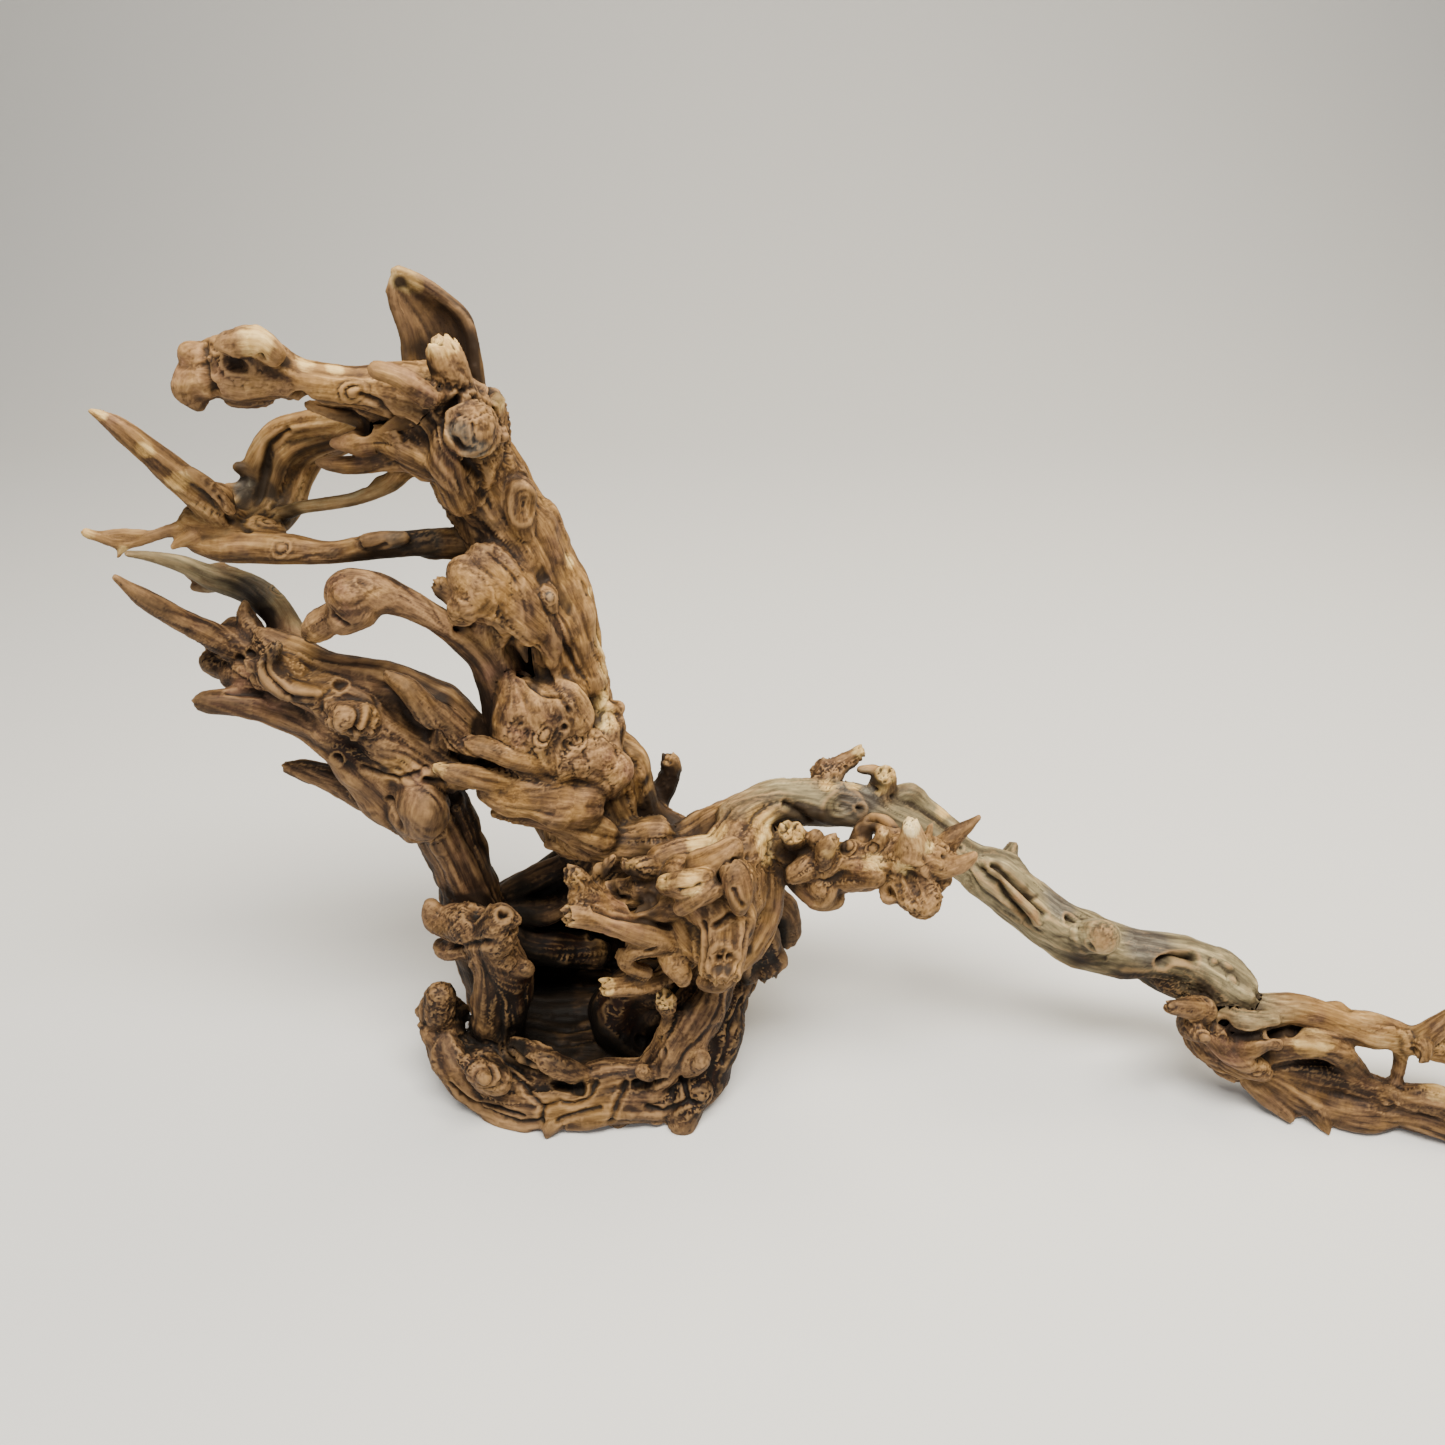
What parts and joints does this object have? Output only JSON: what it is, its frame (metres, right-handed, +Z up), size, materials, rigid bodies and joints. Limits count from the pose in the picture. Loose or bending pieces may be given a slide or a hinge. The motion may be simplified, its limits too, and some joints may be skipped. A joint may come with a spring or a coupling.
{
  "type": "coral wood",
  "caption": "Weathered, branching root wood for a tank: a hollow knobbed root base, a leaning trunk with horned side arms, and one long low branch that forks at its end",
  "frame": {"origin": "the middle of the root bowl's flat sole, on the surface that the piece stands on", "axes": "+X along the long branch, +Y to the back, +Z up"},
  "size_m": [0.5401, 0.1263, 0.3227],
  "materials": {
    "heartwood": "weathered, bare, dull",
    "dark_wood": "weathered, bare, dull",
    "tan_wood": "weathered, bare, dull",
    "grey_wood": "weathered, grey, dull"
  },
  "bodies": {
    "root": {"root_burl": "tan_wood", "root_bowl": "dark_wood", "trunk": "heartwood", "side_arm": "heartwood", "prop": "heartwood", "pillar": "dark_wood", "crown_arm": "tan_wood", "crown_fin": "tan_wood", "elbow": "heartwood", "cross_bar": "grey_wood", "curl": "grey_wood", "long_branch": "grey_wood", "branch_knobs": "tan_wood", "lower_tip": "heartwood", "upper_tip": "tan_wood"}
  },
  "joints": []
}
